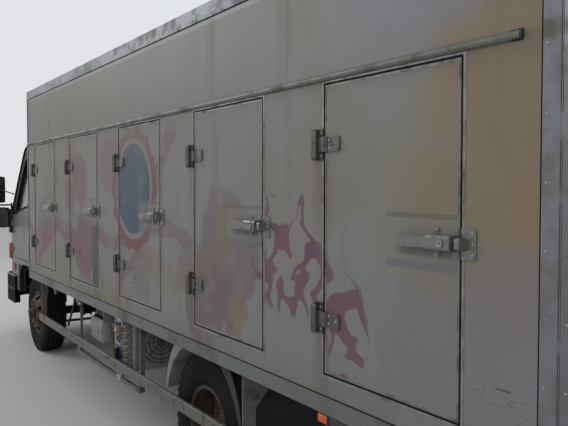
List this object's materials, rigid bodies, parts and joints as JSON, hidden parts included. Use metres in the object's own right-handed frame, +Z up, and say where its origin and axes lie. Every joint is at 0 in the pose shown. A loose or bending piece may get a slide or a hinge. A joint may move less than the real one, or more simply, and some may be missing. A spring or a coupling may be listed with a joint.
{
  "type": "ice cream truck",
  "caption": "Cab-over truck with an insulated box body, a row of latched side doors along each side, twin rear wheels and steered front wheels.",
  "frame": {"origin": "on the ground at the middle of the truck's length and width", "axes": "+X forward along the truck, +Y to its left, +Z up"},
  "size_m": [7.56, 2.53, 2.58],
  "materials": {
    "box_panel": "weathered white gelcoat",
    "aluminium": "dull bare profile",
    "sill_paint": "weathered white paint",
    "chassis_paint": "dull dark paint with rust",
    "cast_steel": "dirty and rusty",
    "rubber_tyre": "worn rubber",
    "rim_steel": "rusty steel",
    "cab_paint": "faded pale paint",
    "glass": "tinted clear",
    "lamp": "lamp lens",
    "black_plastic": "grained",
    "seat_cloth": "woven cloth",
    "grey_paint": "pale grey enamel"
  },
  "bodies": {
    "root": {"box_floor": "box_panel", "box_roof": "box_panel", "box_front_wall": "box_panel", "box_rear_wall": "box_panel", "box_left_wall": "box_panel", "box_right_wall": "box_panel", "box_edge_profiles": "aluminium", "box_subframe": "sill_paint", "cross_bearers": "chassis_paint", "chassis_frame": "chassis_paint", "cross_members": "chassis_paint", "leaf_springs": "cast_steel", "front_axle_beam": "cast_steel", "rear_axle_housing": "cast_steel", "engine_and_gearbox": "cast_steel", "propeller_shaft": "cast_steel", "exhaust_silencer": "cast_steel", "fuel_tank": "chassis_paint", "electrical_cabinet": "grey_paint", "condensing_unit": "grey_paint", "side_guards": "grey_paint", "rear_mudguards": "grey_paint", "rear_underrun_bar": "chassis_paint", "rear_lamps": "lamp", "cab_shell": "cab_paint", "cab_glass": "glass", "front_bumper": "black_plastic", "headlamps": "lamp", "mirrors": "black_plastic", "dashboard": "black_plastic", "steering_wheel": "black_plastic", "seats": "seat_cloth"},
    "left_side_door_1": {"left_side_door_1": "box_panel"},
    "left_side_door_2": {"left_side_door_2": "box_panel"},
    "left_side_door_3": {"left_side_door_3": "box_panel"},
    "left_side_door_4": {"left_side_door_4": "box_panel"},
    "left_side_door_5": {"left_side_door_5": "box_panel"},
    "left_cab_door": {"left_cab_door": "cab_paint", "left_door_glass": "glass"},
    "right_side_door_1": {"right_side_door_1": "box_panel"},
    "right_side_door_2": {"right_side_door_2": "box_panel"},
    "right_side_door_3": {"right_side_door_3": "box_panel"},
    "right_side_door_4": {"right_side_door_4": "box_panel"},
    "right_side_door_5": {"right_side_door_5": "box_panel"},
    "right_cab_door": {"right_cab_door": "cab_paint", "right_door_glass": "glass"},
    "left_knuckle": {"left_knuckle": "cast_steel"},
    "left_front_wheel": {"left_front_rim": "rim_steel", "left_front_tyre": "rubber_tyre"},
    "left_rear_wheels": {"left_rear_rims": "rim_steel", "left_rear_tyres": "rubber_tyre"},
    "right_knuckle": {"right_knuckle": "cast_steel"},
    "right_front_wheel": {"right_front_rim": "rim_steel", "right_front_tyre": "rubber_tyre"},
    "right_rear_wheels": {"right_rear_rims": "rim_steel", "right_rear_tyres": "rubber_tyre"},
    "tie_rod": {"tie_rod": "cast_steel"}
  },
  "joints": [
    {"name": "left_side_door_1_hinge", "type": "hinge", "parent": "root", "child": "left_side_door_1", "pos_m": [1.88, 1.112, 1.5], "axis": [0, 0, -1], "range_deg": [0, 110]},
    {"name": "left_side_door_2_hinge", "type": "hinge", "parent": "root", "child": "left_side_door_2", "pos_m": [0.734, 1.112, 1.5], "axis": [0, 0, -1], "range_deg": [0, 110]},
    {"name": "left_side_door_3_hinge", "type": "hinge", "parent": "root", "child": "left_side_door_3", "pos_m": [-0.412, 1.112, 1.5], "axis": [0, 0, -1], "range_deg": [0, 110]},
    {"name": "left_side_door_4_hinge", "type": "hinge", "parent": "root", "child": "left_side_door_4", "pos_m": [-1.558, 1.112, 1.5], "axis": [0, 0, -1], "range_deg": [0, 110]},
    {"name": "left_side_door_5_hinge", "type": "hinge", "parent": "root", "child": "left_side_door_5", "pos_m": [-2.704, 1.112, 1.5], "axis": [0, 0, -1], "range_deg": [0, 110]},
    {"name": "left_cab_door_hinge", "type": "hinge", "parent": "root", "child": "left_cab_door", "pos_m": [3.284, 1.01, 1.1], "axis": [0, 0, -1], "range_deg": [0, 70]},
    {"name": "right_side_door_1_hinge", "type": "hinge", "parent": "root", "child": "right_side_door_1", "pos_m": [1.88, -1.112, 1.5], "axis": [0, 0, 1], "range_deg": [0, 110]},
    {"name": "right_side_door_2_hinge", "type": "hinge", "parent": "root", "child": "right_side_door_2", "pos_m": [0.734, -1.112, 1.5], "axis": [0, 0, 1], "range_deg": [0, 110]},
    {"name": "right_side_door_3_hinge", "type": "hinge", "parent": "root", "child": "right_side_door_3", "pos_m": [-0.412, -1.112, 1.5], "axis": [0, 0, 1], "range_deg": [0, 110]},
    {"name": "right_side_door_4_hinge", "type": "hinge", "parent": "root", "child": "right_side_door_4", "pos_m": [-1.558, -1.112, 1.5], "axis": [0, 0, 1], "range_deg": [0, 110]},
    {"name": "right_side_door_5_hinge", "type": "hinge", "parent": "root", "child": "right_side_door_5", "pos_m": [-2.704, -1.112, 1.5], "axis": [0, 0, 1], "range_deg": [0, 110]},
    {"name": "right_cab_door_hinge", "type": "hinge", "parent": "root", "child": "right_cab_door", "pos_m": [3.284, -1.01, 1.1], "axis": [0, 0, 1], "range_deg": [0, 70]},
    {"name": "left_steering", "type": "hinge", "parent": "root", "child": "left_knuckle", "pos_m": [2.46, 0.74, 0.392], "axis": [0, 0, 1], "range_deg": [-35, 35]},
    {"name": "left_front_wheel_spin", "type": "hinge", "parent": "left_knuckle", "child": "left_front_wheel", "pos_m": [2.46, 0.85, 0.392], "axis": [0, 1, 0], "continuous": true},
    {"name": "left_rear_wheels_spin", "type": "hinge", "parent": "root", "child": "left_rear_wheels", "pos_m": [-1.57, 0.795, 0.392], "axis": [0, 1, 0], "continuous": true},
    {"name": "right_steering", "type": "hinge", "parent": "root", "child": "right_knuckle", "pos_m": [2.46, -0.74, 0.392], "axis": [0, 0, 1], "range_deg": [-35, 35]},
    {"name": "right_front_wheel_spin", "type": "hinge", "parent": "right_knuckle", "child": "right_front_wheel", "pos_m": [2.46, -0.85, 0.392], "axis": [0, 1, 0], "continuous": true},
    {"name": "right_rear_wheels_spin", "type": "hinge", "parent": "root", "child": "right_rear_wheels", "pos_m": [-1.57, -0.795, 0.392], "axis": [0, 1, 0], "continuous": true},
    {"name": "tie_rod_swing", "type": "hinge", "parent": "left_knuckle", "child": "tie_rod", "pos_m": [2.29, 0.74, 0.308], "axis": [0, 0, 1], "range_deg": [-35, 35]}
  ],
  "couplings": [
    {"joint": "right_steering", "follows": "left_steering", "ratio": 1},
    {"joint": "tie_rod_swing", "follows": "left_steering", "ratio": -1}
  ]
}
